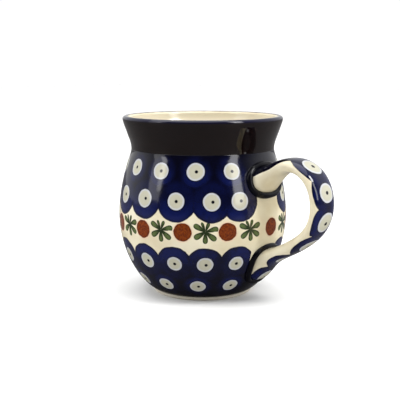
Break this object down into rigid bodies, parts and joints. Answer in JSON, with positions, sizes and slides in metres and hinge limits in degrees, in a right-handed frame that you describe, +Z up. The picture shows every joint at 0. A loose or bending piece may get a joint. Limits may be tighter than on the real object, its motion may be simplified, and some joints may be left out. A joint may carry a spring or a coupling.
{
  "type": "stoneware mug",
  "caption": "Round-bellied stoneware mug with a flared dark collar, a stamped eye and floret pattern and a strap handle.",
  "frame": {"origin": "centre of the foot ring's bottom plane, on the axis of the body", "axes": "+Z up along the axis of the body, +X towards the handle"},
  "size_m": [0.1155, 0.0844, 0.0885],
  "materials": {
    "stoneware": "bare fired clay, matt",
    "slip_line": "glossy",
    "liner_glaze": "glossy",
    "collar_glaze": "glossy",
    "decorated_glaze": "glossy"
  },
  "bodies": {
    "root": {"cup_body": "stoneware", "handle": "stoneware", "upper_slip_joint": "slip_line", "lower_slip_joint": "slip_line", "liner_glaze": "liner_glaze", "collar_glaze": "collar_glaze", "belly_glaze": "decorated_glaze", "handle_glaze": "decorated_glaze", "base_glaze": "liner_glaze"}
  },
  "joints": []
}
